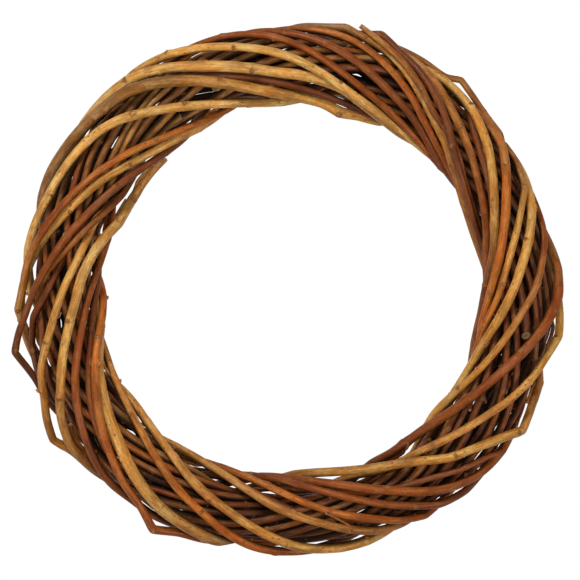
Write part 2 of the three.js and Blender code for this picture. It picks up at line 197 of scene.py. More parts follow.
# A thin shoot that stands out from its rod: [clock angle, length and thickness in mm], and the way it
# leaves the rod, up the picture and towards the viewer.
THIN_SHOOTS = {"willow_rod_06": [[166.5, 13, 1.5]]}
SHOOT_WAY = (0, 0.9, 0.45)

# Side shoots that lie along their rod inside the bundle: [clock angle of the start, counted on past 360
# from the butt, length and thickness in mm, side of the rod in degrees from outwards by way of up].
LYING_SHOOTS = {
    "willow_rod_01": [[503.2, 16.4, 2.6, 330]],
    "willow_rod_02": [[645.9, 15.2, 2.6, 315], [693.2, 16.6, 2.6, 210]],
    "willow_rod_03": [[110.0, 14.7, 1.8, 150]],
    "willow_rod_04": [[328.7, 9.0, 1.8, 315]],
    "willow_rod_05": [[206.0, 16.4, 2.0, 30]],
    "willow_rod_06": [[693.9, 11.7, 1.8, 345]],
    "willow_rod_07": [[346.8, 16.1, 1.8, 315]],
    "willow_rod_08": [[604.6, 11.1, 1.8, 30]],
    "willow_rod_10": [[590.2, 24.2, 3.0, 210], [651.6, 13.7, 1.8, 330], [662.5, 16.0, 2.2, 330]],
    "willow_rod_12": [[180.3, 11.0, 1.8, 225]],
    "willow_rod_13": [[181.1, 18.5, 3.0, 330]],
    "inner_rod_1": [[645.4, 9.0, 1.8, 150]],
    "inner_rod_3": [[734.4, 9.3, 1.8, 210], [815.8, 20.0, 2.2, 0]],
    "inner_rod_4": [[232.6, 11.1, 1.8, 0]],
    "inner_rod_6": [[534.6, 11.3, 1.8, 210]],
    "inner_rod_7": [[256.3, 19.0, 3.0, 345]],
}

# The patch of a rod's faces that a side stub or shoot grows from, and how far each leans outwards.
STUB_ROWS = 4
STUB_COLUMNS = 2
STUB_LEAN = 0.9
THIN_SHOOT_LEAN = 0.4

# Rings of the rods inside the bundle are further apart than those of the rods in front.
INNER_STEP_SCALE = 1.25
CORE_STEP_SCALE = 1.5

# Sets the seeds of the rods apart.
SEED_STEP = 7919

# The two ends of a rod: the number of its ring, its name, and the sign of the way to the middle.
ENDS = ((0, "first", 1), (-1, "last", -1))

# The slot of the record that each rod's bark belongs to.
SLOT_OF_ROD = {entry["node"]: entry["material_slot"] for entry in frame["record"]["subparts"]}


def colour_property(name, description, colour):
    """A colour for the sidebar."""
    return FloatVectorProperty(
        name=name, description=description, subtype="COLOR", size=3, min=0, max=1, default=colour
    )


def share_property(name, description, default, low=0.0, high=1.0):
    """A share for the sidebar, from 0 to 1 unless it is told otherwise."""
    return FloatProperty(name=name, description=description, default=default, min=low, max=high)


def length_property(name, description, default):
    """A length for the sidebar."""
    return FloatProperty(name=name, description=description, default=default, unit="LENGTH", precision=5)


def power_property(name, default):
    """The power of a light for the sidebar."""
    return FloatProperty(name=name, description="Power in watts", default=default, min=0)


class WreathBark(bpy.types.PropertyGroup):
    """The colours and finish of the bark, and its painted shade inside the bundle."""

    bright_gold: colour_property("Bright gold", "Yellowest, freshest bark", (0.61, 0.360, 0.106))
    gold: colour_property("Gold", "Golden bark", (0.54, 0.288, 0.067))
    ochre: colour_property("Ochre", "Duller golden bark", (0.44, 0.206, 0.049))
    olive: colour_property("Olive", "Greenish golden bark", (0.33, 0.165, 0.042))
    orange: colour_property("Orange", "Orange-brown bark", (0.42, 0.134, 0.020))
    rust: colour_property("Rust", "Reddish-brown bark", (0.27, 0.074, 0.013))
    brown: colour_property("Brown", "Plain brown bark", (0.32, 0.128, 0.028))
    umber: colour_property("Umber", "Darker brown bark", (0.18, 0.053, 0.014))
    dark: colour_property("Dark brown", "Darkest bark", (0.11, 0.036, 0.013))
    grey: colour_property("Grey-brown", "Old bark near a rod's butt", (0.27, 0.145, 0.058))
    # Core shade and inner shade are painted shade: an inner or core rod's bark is darker the nearer it
    # lies to the bundle's middle.
    core_shade: share_property("Core shade", "Brightness of bark in the bundle's middle", 0.12, 0.05)
    inner_shade: share_property(
        "Inner shade", "Brightness of an inner rod's bark where it nears the surface", 0.92, 0.1
    )
    # Shaded side is painted shade: the brightness left on the side of a rod that faces into the bundle.
    shaded_side: share_property(
        "Shaded side", "Brightness of the side of a rod that faces into the bundle", 0.12, 0.02
    )
    cut_wood: colour_property("Cut wood", "Wood at a cut end", (0.50, 0.35, 0.19))
    scar: colour_property("Scar", "Corky scar at a leaf joint", (0.11, 0.040, 0.014))
    bud_fleck: colour_property("Bud fleck", "Pale fleck where a bud was rubbed off", (0.58, 0.34, 0.16))
    gloss_roughness: share_property("Roughness", "Roughness of smooth bark", 0.45, 0.05)
    relief: share_property("Relief", "Strength of the fine relief of the bark", 0.75)


class WreathRods(bpy.types.PropertyGroup):
    """The sizes of the rods' natural detail."""

    sides: IntProperty(name="Sides", description="Sides of a rod in front", default=18, min=8, max=32)
    inner_sides: IntProperty(
        name="Inner sides", description="Sides of a rod inside the bundle", default=14, min=8, max=32
    )
    thickness: share_property(
        "Thickness", "Share of its packed thickness that a rod in front has", 0.96, 0.5
    )
    inner_thickness: share_property(
        "Inner thickness", "Share of its packed thickness that an inner rod has", 1.04, 0.5, 1.1
    )
    plain_step: length_property("Plain step", "Ring spacing between joints", 1.7 * MM)
    joint_step: length_property("Joint step", "Ring spacing at a joint", 0.45 * MM)
    joint_reach: length_property("Joint reach", "Length of a joint either way", 3.5 * MM)
    shortest_growth: length_property("Shortest growth", "Least length between two joints", 26 * MM)
    longest_growth: length_property("Longest growth", "Greatest length between two joints", 46 * MM)
    swelling: share_property("Swelling", "How far a joint swells, as a share of the radius", 0.06)
    zigzag: length_property("Zigzag", "How far the rod shifts aside at each joint", 0.26 * MM)
    stub_share: share_property("Stub share", "Share of the joints that carry a cut side stub", 0.16)


class WreathStage(bpy.types.PropertyGroup):
    """The floor, lights and camera."""

    photo_width: length_property("Picture width", "Width that the picture takes in", 323.0 * MM)
    camera_aim: FloatVectorProperty(
        name="Camera aim", description="Point at the picture's middle", size=3, unit="LENGTH",
        default=(1.31 * MM, -0.58 * MM, 20 * MM)
    )
    camera_distance: length_property("Camera distance", "Height of the camera over the wreath", 3.0)
    floor_colour: colour_property("Floor", "Colour of the floor", (0.42, 0.42, 0.42))
    floor_glow: share_property("Floor glow", "Share of the floor's brightness that is its own", 0.96)
    overhead_power: power_property("Overhead light", 13.2)
    key_power: power_property("Key light", 23.0)
    fill_power: power_property("Fill light", 15.0)
    low_power: power_property("Low light", 13.2)
    sky_strength: share_property("Sky", "Strength of the even light from around", 0.02, high=10)


def smooth_step(at):
    """A smooth rise from 0 to 1 as at goes from 0 to 1."""
    at = np.clip(at, 0, 1)
    return at * at * (3 - 2 * at)


def unit(vectors):
    """The same vectors, each one long."""
    return vectors / np.linalg.norm(vectors, axis=-1, keepdims=True)


def wander(random, along, wavelength):
    """Smooth random values between -1 and 1 along a rod."""
    count = max(4, int(math.ceil(along[-1] / wavelength)) + 3)
    values = random.uniform(-1, 1, count)
    place = along / wavelength
    before = np.minimum(place.astype(int), count - 2)
    share = smooth_step(place - before)
    return values[before] * (1 - share) + values[before + 1] * share


def clock_angles(points):
    """Clock angle of each point round the ring, going on past 360."""
    angles = np.arctan2(points[:, 0] - RING_CENTRE[0], points[:, 1] - RING_CENTRE[1])
    return np.degrees(np.unwrap(angles))


def rings_of(node):
    """Centre and radius of each ring of corners along a packed rod, from its butt to its tip."""
    mesh = bmesh.new()
    mesh.from_mesh(node.data)
    bmesh.ops.remove_doubles(mesh, verts=mesh.verts, dist=0.001 * MM)

    def around(corner):
        return [edge.other_vert(corner) for edge in corner.link_edges]

    end = next(
        corner for corner in mesh.verts if all(len(near.link_edges) == 5 for near in around(corner)))
    seen = {end}
    ring = around(end)
    centres = []
    radii = []
    while len(ring) > 1:
        corners = np.array([corner.co for corner in ring])
        centre = corners.mean(axis=0)
        centres.append(centre)
        radii.append(np.linalg.norm(corners - centre, axis=1).mean() / CORNER_SHARE)
        seen.update(ring)
        ahead = [near for corner in ring for near in around(corner) if near not in seen]
        ring = list(dict.fromkeys(ahead))
    mesh.free()
    centres = np.array(centres)
    radii = np.array(radii)
    angles = clock_angles(centres)
    if angles[-1] < angles[0]:
        return centres[::-1], radii[::-1]
    return centres, radii


def smooth_course(centres, radii):
    """A smooth line through the ring centres that keeps its sharp elbows, with many points to a span."""
    points_per_span = 24
    gentle, sharp = math.radians(14), math.radians(32)
    steps = np.diff(centres, axis=0)
    lengths = np.linalg.norm(steps, axis=1)
    headings = steps / lengths[:, None]
    tangents = unit(np.vstack([headings[:1], headings[:-1] + headings[1:], headings[-1:]]))
    turns = np.arccos(np.clip((headings[:-1] * headings[1:]).sum(axis=1), -1, 1))
    easing = 1 - 0.75 * smooth_step((turns - gentle) / (sharp - gentle))
    easing = np.concatenate([[1], easing, [1]])
    points = []
    thickness = []
    share = np.linspace(0, 1, points_per_span, endpoint=False)[:, None]
    for i, length in enumerate(lengths):
        leave = tangents[i] * length * easing[i]
        arrive = tangents[i + 1] * length * easing[i + 1]
        square, cube = share ** 2, share ** 3
        points.append(
            (2 * cube - 3 * square + 1) * centres[i] + (cube - 2 * square + share) * leave
            + (3 * square - 2 * cube) * centres[i + 1] + (cube - square) * arrive
        )
        thickness.append(radii[i] + (radii[i + 1] - radii[i]) * share[:, 0])
    points = np.vstack(points + [centres[-1:]])
    thickness = np.concatenate(thickness + [radii[-1:]])
    along = np.concatenate([[0], np.cumsum(np.linalg.norm(np.diff(points, axis=0), axis=1))])
    return along, points, thickness


def clocks_onward(clocks, first):
    """Clock angles that go on past 360, each further on than the one before, from about first on."""
    slack = 12
    latest = first - slack
    onward = []
    for clock in clocks:
        latest = clock + 360 * math.ceil((latest - clock) / 360)
        onward.append(latest)
    return np.array(onward, float)


def counted_from_butt(clocks):
    """The same clock angles, with the butt's between 0 and 360."""
    return clocks - 360 * math.floor(clocks[0] / 360)


def joint_places(random, name, along, clocks, shape):
    """Where the leaf joints lie along a rod: those seen in front, and others spaced by growth."""
    seen = []
    if name in JOINTS_IN_FRONT:
        onward = clocks_onward(JOINTS_IN_FRONT[name], clocks[0])
        seen = [float(np.interp(clock, clocks, along)) for clock in onward if clock < clocks[-1]]
    places = list(seen)
    place = random.uniform(0.3, 0.9) * shape.shortest_growth
    while place < along[-1] - shape.joint_reach:
        if all(abs(place - other) > 0.6 * shape.shortest_growth for other in seen):
            places.append(place)
        place += random.uniform(shape.shortest_growth, shape.longest_growth)
    for clock, _, _, _ in LYING_SHOOTS.get(name, []):
        places.append(float(np.interp(clock, counted_from_butt(clocks), along)))
    return sorted(places), set(seen)


def ring_places(length, joints, shape, step_scale):
    """Distances along a rod at which it gets a ring of corners, closer at the joints and ends."""
    fine = shape.joint_step * step_scale
    plain = shape.plain_step * step_scale
    spots = np.array(joints + [0, length])
    places = [0.0]
    while places[-1] < length:
        near = np.abs(spots - places[-1]).min()
        share = smooth_step((near - shape.joint_reach) / (2 * MM))
        places.append(places[-1] + fine + (plain - fine) * float(share))
    places = np.array(places)
    return places * length / places[-1]


def turned_frames(points):
    """Tangent, side and rise at each point, turned as little as possible along the line."""
    tangents = unit(np.gradient(points, axis=0))
    side = unit(np.cross(tangents[0], UP))
    sides = []
    for tangent in tangents:
        side = unit(side - tangent * side.dot(tangent))
        sides.append(side)
    sides = np.array(sides)
    return tangents, sides, np.cross(tangents, sides)


def angle_between(angles, middle):
    """Signed angle from middle to each of the angles, within half a turn."""
    return (angles - middle + math.pi) % (2 * math.pi) - math.pi


class RodRings:
    """The rings of corners of one rod: where they lie, which way they face and how thick they are."""

    def __init__(self, along, points, radius, clocks, sides_count):
        self.along = along
        self.points = points
        self.radius = radius
        self.clocks = clocks
        self.tangents, self.sides, self.rises = turned_frames(points)
        self.angles = np.linspace(0, 2 * math.pi, sides_count, endpoint=False)
        across = self.sides[:, None, :] * np.cos(self.angles)[None, :, None]
        self.spokes = across + self.rises[:, None, :] * np.sin(self.angles)[None, :, None]

    def number_at(self, place):
        """The number of the ring at a place along the rod, or of the next one."""
        return min(int(np.searchsorted(self.along, place)), len(self.along) - 1)

    def side_facing(self, ring, way):
        """The angle round a ring that faces a given way."""
        return math.atan2(np.dot(self.rises[ring], way), np.dot(self.sides[ring], way))


# A leaf joint: its place along the rod, the side its bud is on, the bud's size and the stub's length.
Joint = namedtuple("Joint", "place side bud stub")


def make_joints(random, places, seen, rod, shape):
    """Buds follow each other round the rod, and those seen in front are on its upper side."""
    spiral = 2.4
    side = random.uniform(0, 2 * math.pi)
    joints = []
    for place in places:
        side += spiral + random.uniform(-0.4, 0.4)
        if place in seen:
            side = rod.side_facing(rod.number_at(place), UP) + random.uniform(-0.8, 0.8)
        stub = 0.0
        inside = min(place, rod.along[-1] - place) > 3 * shape.joint_reach
        if inside and random.random() < shape.stub_share and place not in seen:
            stub = random.uniform(1.2, 3.2) * MM
        bud = random.uniform(0.3, 1) ** 1.6
        if place in seen:
            bud = 0.6 + 0.4 * bud
        joints.append(Joint(place, side, bud, stub))
    return joints


def hump(past, reach):
    """A smooth hump, 1 in its middle and about a third at reach from there."""
    return np.exp(-(past / reach) ** 2)


def joint_relief(joint, rings, angles, radius, shape):
    """How far a joint raises the bark, and how scarred it is there."""
    past = (rings - joint.place)[:, None]
    aside = angle_between(angles, joint.side)[None, :]
    collar = hump(past, 2.4 * MM) * shape.swelling
    cushion = hump(past, 1.3 * MM) * hump(aside, 0.75) * 0.13 * joint.bud
    bud_past = past - 1.7 * MM
    bud_width = 0.48 - 0.16 * np.clip(bud_past / (1.6 * MM), -1, 1)
    bud = np.clip(1 - (bud_past / (1.9 * MM)) ** 2, 0, 1) ** 0.5 * hump(aside, bud_width)
    notch = hump(past + 0.9 * MM, 0.5 * MM) * hump(aside, 0.9) * 0.09
    raised = radius[:, None] * (collar + cushion + 0.24 * joint.bud * bud - notch)
    ring_scar = hump(past + 0.3 * MM, 0.55 * MM) * (0.24 + 0.2 * joint.bud * np.cos(aside))
    bud_scar = hump(past, 1.35 * MM) * hump(aside, 0.55) * (0.25 + 0.75 * joint.bud)
    return raised, np.maximum(ring_scar, bud_scar)


def out_of_core(points):
    """The way from the middle line of the bundle to each point, and how far that is."""
    from_middle = points[:, :2] - RING_CENTRE
    distance = np.linalg.norm(from_middle, axis=1)
    away = np.concatenate([
        from_middle / distance[:, None] * (distance - RING_RADIUS)[:, None],
        points[:, 2:] - BUNDLE_HEIGHT,
    ], axis=1)
    how_far = np.linalg.norm(away, axis=1)
    return away / how_far[:, None], how_far


def tints_with_painted_shade(name, points, clocks, bark):
    """The bark's colour at each ring, from one named colour to the next, with painted shade deeper in the
    bundle.
    """
    stations = BARK_ALONG[name]
    onward = clocks_onward([clock for clock, _ in stations], clocks[0])
    colours = np.array([getattr(bark, colour) for _, colour in stations])
    tints = between_rings(clocks, onward, colours)
    if name.startswith("willow_rod"):
        return tints
    # Painted shade: inner and core rods darken towards the middle of the bundle.
    _, from_core = out_of_core(points)
    nearness = smooth_step((from_core - CORE_RADIUS) / CORE_EDGE)
    shade = bark.core_shade + (bark.inner_shade - bark.core_shade) * nearness
    return tints * shade[:, None]


def painted_side_shade(name, points, spokes, bark):
    """Painted shade round each ring: within the bundle, the side that faces into it is darkened, and on an
    inner rod the flanks as well.
    """
    darkest, brightest = (-0.6, 0.15) if name.startswith("willow_rod") else (0.3, 0.92)
    outward, from_core = out_of_core(points)
    facing = np.einsum("ijk,ik->ij", spokes, outward)
    brightness = bark.shaded_side + (1 - bark.shaded_side) * smooth_step(
        (facing - darkest) / (brightest - darkest))
    inside = 1 - smooth_step((from_core - (BUNDLE_RADIUS - SHADE_DEPTH)) / SHADE_DEPTH)
    return 1 - inside[:, None] * (1 - brightness)


class Skin:
    """The corners and faces of one rod as they are laid."""

    def __init__(self):
        self.blocks = []
        self.count = 0
        self.faces = []
        self.flat = []

    def add_corners(self, places, bark_places, tints, scars=0.0, cuts=0.0):
        """Adds corners and returns their numbers. One tint, scar or cut can go for all of them."""
        first, added = self.count, len(places)
        self.blocks.append((
            places, bark_places, np.broadcast_to(tints, (added, 3)), np.broadcast_to(scars, added),
            np.broadcast_to(cuts, added)))
        self.count += added
        return list(range(first, self.count))

    def add_faces(self, faces, flat=False):
        self.faces.extend(faces)
        self.flat.extend([flat] * len(faces))

    def as_object(self, name, material):
        """The rod as a mesh object, with its bark's places, tints with their painted shade, scars and cuts
        at its corners.
        """
        places, bark_places, tints, scars, cuts = (np.concatenate(part) for part in zip(*self.blocks))
        mesh = bpy.data.meshes.new(name)
        mesh.from_pydata(places.tolist(), [], self.faces)
        mesh.polygons.foreach_set("use_smooth", [not flat for flat in self.flat])
        opaque = np.concatenate([tints, np.ones((len(tints), 1))], axis=1)
        for attribute, kind, key, values in (
            ("bark_place", "FLOAT_VECTOR", "vector", bark_places),
            ("tint_with_painted_shade", "FLOAT_COLOR", "color", opaque),
            ("scar", "FLOAT", "value", scars),
            ("cut", "FLOAT", "value", cuts),
        ):
            data = mesh.attributes.new(attribute, kind, "POINT").data
            data.foreach_set(key, values.astype(np.float32).ravel())
        mesh.materials.append(material)
        mesh.validate()
        mesh.update()
        piece = bpy.data.objects.new(name, mesh)
        bpy.context.scene.collection.objects.link(piece)
        return piece


def quads_between(lower, upper):
    """Faces between two rings of corners with the same count, given as corner numbers."""
    return list(zip(lower, lower[1:] + lower[:1], upper[1:] + upper[:1], upper))


def close_end(skin, ring, outline, bark_outline, tint, forward):
    """Closes a rod with a cut face: a rim of bark, then wood, then the pith."""
    centre = outline.mean(axis=0)
    bark_centre = bark_outline.mean(axis=0)
    earlier = ring
    for share, cut in ((0.985, 0.0), (0.9, 1.0), (0.5, 1.0), (0.12, 1.0)):
        places = centre + (outline - centre) * share
        bark_places = bark_centre + (bark_outline - bark_centre) * share
        inner = skin.add_corners(places, bark_places, tint, cuts=cut)
        faces = quads_between(earlier, inner) if forward else quads_between(inner, earlier)
        skin.add_faces(faces, flat=True)
        earlier = inner
    middle = skin.add_corners(centre[None, :], bark_centre[None, :], tint, cuts=1.0)
    order = earlier if forward else earlier[::-1]
    skin.add_faces([(*side, *middle) for side in zip(order, order[1:] + order[:1])], flat=True)


def between_rings(at, along, values):
    """Values of three parts, given at places along a rod, at the places between them."""
    return np.stack([np.interp(at, along, values[:, k]) for k in range(3)], axis=1)


def stub_edge(row, column):
    """The corners round a patch of the rod that is opened for a stub, as ring and side numbers."""
    edge = [(row, column + k) for k in range(STUB_COLUMNS)]
    edge += [(row + i, column + STUB_COLUMNS) for i in range(STUB_ROWS)]
    edge += [(row + STUB_ROWS, column + k) for k in range(STUB_COLUMNS, 0, -1)]
    return edge + [(row + i, column) for i in range(STUB_ROWS, 0, -1)]


def straight_course(base, heading, bend, length):
    """The middle line of a stub or shoot that leaves its rod, bending a little towards the rod's tip."""
    shares = np.linspace(0, 1, max(4, int(length / (1.5 * MM))))[:, None]
    return base + heading * (0.35 * MM + shares * length) + bend * length * 0.2 * shares ** 2


def lying_course(rod, place, length, thickness, way):
    """The middle line of a side shoot that lies along its rod, on the given side of it."""
    steps = np.linspace(0, length, max(6, int(length / (1.5 * MM))))
    at = place + 1.5 * MM + steps
    middle = between_rings(at, rod.along, rod.points)
    ways = np.array([shoot_way(point, way) for point in middle])
    headings = unit(np.gradient(middle, axis=0))
    ways = unit(ways - headings * (ways * headings).sum(axis=1)[:, None])
    radius = np.interp(at, rod.along, rod.radius)
    lift = 0.85 * radius + (0.15 * radius + thickness / 2 + 0.1 * MM) * smooth_step(steps / (4 * MM))
    return middle + ways * lift[:, None]


def shoot_way(point, degrees):
    """The way that is turned from outwards, as seen from the ring's middle, towards up."""
    outward = unit(np.array([point[0] - RING_CENTRE[0], point[1] - RING_CENTRE[1], 0]))
    turn = math.radians(degrees)
    return outward * math.cos(turn) + np.array(UP) * math.sin(turn)


def grow_side_piece(skin, patch, outward, course, radii, tint):
    """Grows a stub or shoot out of a patch of the rod: rings along its course, then a cut end."""
    corners = np.array([corner for corner, _, _ in patch])
    bark = np.array([place for _, place, _ in patch])
    ring = [number for _, _, number in patch]
    headings = unit(np.gradient(course, axis=0))
    start = corners.mean(axis=0)
    spokes = corners - start
    before = Vector(outward)
    for heading, place, radius in zip(headings, course, radii):
        turn = np.array(before.rotation_difference(Vector(heading)).to_matrix())
        spokes = spokes @ turn.T
        before = Vector(heading)
        flat = spokes - (spokes @ heading)[:, None] * heading
        places = place + unit(flat) * radius
        ahead = skin.add_corners(places, bark + (np.linalg.norm(place - start), 0, 0), tint)
        skin.add_faces(quads_between(ring, ahead))
        ring = ahead
    bark_outline = bark.mean(axis=0) + (places - places.mean(axis=0))
    close_end(skin, ring, places, bark_outline, tint, forward=True)


def end_cut(name, end, random):
    """How an end of a rod is cut: as it shows in front, or else some slanting cut."""
    looks = random.normal(size=3)
    hidden = (random.uniform(0.2, 0.9), looks, 0.95, 8 * MM)
    return ENDS_IN_FRONT.get((name, end), hidden)


def lay_rings(random, name, shape, step_scale, sides_count):
    """The rings of a rod along its packed rod's middle line, and its leaf joints."""
    course_along, course_points, course_radii = smooth_course(*rings_of(frame["nodes"][name]))
    course_clocks = clock_angles(course_points)
    places, seen = joint_places(random, name, course_along, course_clocks, shape)
    along = ring_places(course_along[-1], places, shape, step_scale)
    points = between_rings(along, course_along, course_points)
    radius = np.interp(along, course_along, course_radii)
    rod = RodRings(along, points, radius, np.interp(along, course_along, course_clocks), sides_count)
    joints = make_joints(random, places, seen, rod, shape)

    knots = [0.0] + places + [course_along[-1]]
    shift = np.zeros_like(points)
    for direction in (rod.sides, rod.rises):
        pulls = random.uniform(-1, 1, len(knots)) * shape.zigzag
        shift += direction * np.interp(along, knots, pulls)[:, None]
    rod.points = points + shift
    return rod, joints


def natural_section(random, name, rod, thickness_share):
    """How far the bark is from the middle of each ring: uneven thickness, thinner ends, oval, ribs."""
    rod.radius = thickness_share * rod.radius * (1 + 0.035 * wander(random, rod.along, 20 * MM))
    for at, end, _ in ENDS:
        _, _, kept, over = end_cut(name, end, random)
        from_end = np.abs(rod.along - rod.along[at])
        rod.radius = rod.radius * (kept + (1 - kept) * smooth_step(from_end / over))
    angles = rod.angles[None, :]
    oval = 0.05 * np.cos(2 * (angles - 2 * wander(random, rod.along, 60 * MM)[:, None]))
    ribs = np.zeros_like(oval)
    for lobes in (3, 5, 6):
        turn = math.pi * wander(random, rod.along, 90 * MM)[:, None] + random.uniform(0, 6)
        ribs += 0.018 * wander(random, rod.along, 14 * MM)[:, None] * np.cos(lobes * angles + turn)
    return rod.radius[:, None] * (1 + oval + ribs)


def raise_joints(rod, joints, reach, shape):
    """Raises the bark at the leaf joints, and returns how scarred it is."""
    scars = np.zeros_like(reach)
    for joint in joints:
        near = np.abs(rod.along - joint.place) < 3 * shape.joint_reach
        raised, scarred = joint_relief(joint, rod.along[near], rod.angles, rod.radius[near], shape)
        reach[near] += raised
        scars[near] = np.maximum(scars[near], scarred)
    return scars


def cut_ends(random, name, rod, reach):
    """The rod's corners, slanted back at each end as a knife leaves them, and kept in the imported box."""
    corners = rod.points[:, None, :] + reach[:, :, None] * rod.spokes
    for at, end, sign in ENDS:
        slope, looks, _, _ = end_cut(name, end, random)
        cut_back = slope * reach[at] * (1 + np.cos(rod.angles - rod.side_facing(at, looks)))
        fading = np.clip(1 - np.abs(rod.along - rod.along[at]) / (2 * cut_back.max() + MM), 0, 1)
        corners += (sign * fading[:, None] * cut_back[None, :])[:, :, None] * rod.tangents[:, None, :]
    return np.clip(corners, cad_box[0], cad_box[1])


def side_growths(random, name, rod, joints):
    """The stubs and shoots of a rod: place, side, length, half thickness, lean, and the way it lies."""
    growths = [
        (joint.place, joint.side, joint.stub, random.uniform(0.75, 1.05) * MM, STUB_LEAN, None)
        for joint in joints if joint.stub > 0
    ]
    for clock, length, thickness in THIN_SHOOTS.get(name, []):
        place = float(np.interp(clocks_onward([clock], rod.clocks[0])[0], rod.clocks, rod.along))
        side = rod.side_facing(rod.number_at(place), SHOOT_WAY)
        growths.append((place, side, length * MM, thickness * MM / 2, THIN_SHOOT_LEAN, None))
    for clock, length, thickness, way in LYING_SHOOTS.get(name, []):
        place = float(np.interp(clock, counted_from_butt(rod.clocks), rod.along))
        ring = rod.number_at(place)
        side = rod.side_facing(ring, shoot_way(rod.points[ring], way))
        growths.append((place, side, length * MM, thickness * MM / 2, STUB_LEAN, way))
    return growths


def grow_side_pieces(skin, rod, growths, corners, bark_places, tints, inner_shade):
    """Grows the stubs and shoots that have room, and returns the cells of the rod that they open."""
    count = len(rod.angles)
    taken = set()
    for place, side, length, radius, lean, way in growths:
        row = int(np.searchsorted(rod.along, place)) - STUB_ROWS // 2
        column = int(round(side / (2 * math.pi) * count)) - STUB_COLUMNS // 2
        cells = [(row + i, (column + k) % count) for i in range(STUB_ROWS) for k in range(STUB_COLUMNS)]
        if row < 1 or row + STUB_ROWS > len(rod.along) - 2 or taken.intersection(cells):
            continue
        middle = row + STUB_ROWS // 2
        spoke = rod.spokes[middle, (column + STUB_COLUMNS // 2) % count]
        patch = [
            (corners[i, k % count], bark_places[i, k % count], i * count + k % count)
            for i, k in stub_edge(row, column)
        ]
        tint = tints[middle]
        if way is None:
            heading = unit(spoke * lean + rod.tangents[middle])
            base = np.mean([corner for corner, _, _ in patch], axis=0)
            course = straight_course(base, heading, rod.tangents[middle], length)
        else:
            course = lying_course(rod, place, length, 2 * radius, way)
            # A shoot that lies inside the bundle is darkened with the inner rods' painted shade.
            tint = tint * inner_shade
        if np.any(course[-1] - radius < cad_box[0]) or np.any(course[-1] + radius > cad_box[1]):
            continue
        taken.update(cells)
        grow_side_piece(skin, patch, spoke, course, radius * np.linspace(1.1, 0.85, len(course)), tint)
    return taken


def shape_rod(name, material, sides_count, step_scale, thickness_share, shape, bark):
    """Builds one rod over its packed rod: taper, zigzag, leaf joints, buds, stubs and cut ends."""
    random = np.random.default_rng(sum(ord(letter) for letter in name) * SEED_STEP)
    rod, joints = lay_rings(random, name, shape, step_scale, sides_count)
    reach = natural_section(random, name, rod, thickness_share)
    scars = raise_joints(rod, joints, reach, shape)
    corners = cut_ends(random, name, rod, reach)

    offset = random.uniform(0, 5)
    bark_places = np.stack([
        np.repeat((rod.along + offset)[:, None], sides_count, axis=1),
        reach * np.cos(rod.angles)[None, :],
        reach * np.sin(rod.angles)[None, :],
    ], axis=2)
    broad = 0.10 * wander(random, rod.along, 18 * MM)
    close = 0.06 * wander(random, rod.along, 5 * MM)
    tints = tints_with_painted_shade(name, rod.points, rod.clocks, bark) * (1 + broad + close)[:, None]
    # Painted shade on the sides of the rod that face into the bundle.
    ring_tints_and_shade = tints[:, None, :] * painted_side_shade(name, rod.points, rod.spokes, bark)[:, :, None]

    skin = Skin()
    numbers = skin.add_corners(
        corners.reshape(-1, 3), bark_places.reshape(-1, 3), ring_tints_and_shade.reshape(-1, 3), scars.ravel())
    numbers = np.reshape(numbers, scars.shape).tolist()
    growths = side_growths(random, name, rod, joints)
    taken = grow_side_pieces(skin, rod, growths, corners, bark_places, tints, bark.inner_shade)
    for i in range(len(numbers) - 1):
        faces = quads_between(numbers[i], numbers[i + 1])
        skin.add_faces([face for k, face in enumerate(faces) if (i, k) not in taken])
    for at, _, sign in ENDS:
        close_end(skin, numbers[at], corners[at], bark_places[at], tints[at], forward=sign < 0)
    return skin.as_object(name + "_barked", material)


class NodeBuilder:
    """Adds shader nodes to a material and links them."""

    def __init__(self, material):
        self.tree = material.node_tree
        self.tree.nodes.clear()

    def add(self, kind, settings=(), **inputs):
        node = self.tree.nodes.new(kind)
        for setting, value in settings:
            setattr(node, setting, value)
        for key, value in inputs.items():
            self.put(node, key.replace("_", " "), value)
        return node

    def put(self, node, key, value):
        socket = node.inputs[int(key)] if key.isdigit() else node.inputs[key]
        if isinstance(value, bpy.types.NodeSocket):
            self.tree.links.new(value, socket)
        else:
            socket.default_value = value

    def attribute(self, name):
        return self.add("ShaderNodeAttribute", [("attribute_name", name)])

    def math(self, operation, first, second=0.5):
        node = self.add("ShaderNodeMath", [("operation", operation)])
        self.put(node, "0", first)
        self.put(node, "1", second)
        return node.outputs[0]

    def plus(self, first, second):
        return self.math("ADD", first, second)

    def times(self, first, second):
        return self.math("MULTIPLY", first, second)

    def stretched(self, vector, scale):
        node = self.add("ShaderNodeMapping", Scale=scale)
        self.put(node, "Vector", vector)
        return node.outputs["Vector"]

    def noise(self, vector, scale, detail, stretch=1):
        """Noise that is drawn out along the rod where stretch is under 1."""
        node = self.add("ShaderNodeTexNoise", Scale=scale, Detail=detail, Roughness=0.55)
        self.put(node, "Vector", self.stretched(vector, (stretch, 1, 1)) if stretch < 1 else vector)
        return node.outputs["Fac"]

    def ramp(self, value, low, high, bottom=0.0, top=1.0):
        node = self.add("ShaderNodeMapRange", [("interpolation_type", "SMOOTHSTEP")])
        self.put(node, "Value", value)
        for key, number in (("From Min", low), ("From Max", high), ("To Min", bottom), ("To Max", top)):
            self.put(node, key, number)
        return node.outputs["Result"]

    def mix(self, share, first, second, blend="MIX"):
        node = self.add("ShaderNodeMix", [("data_type", "RGBA"), ("blend_type", blend)])
        self.put(node, "0", share)
        self.put(node, "6", first)
        self.put(node, "7", second)
        return node.outputs[2]


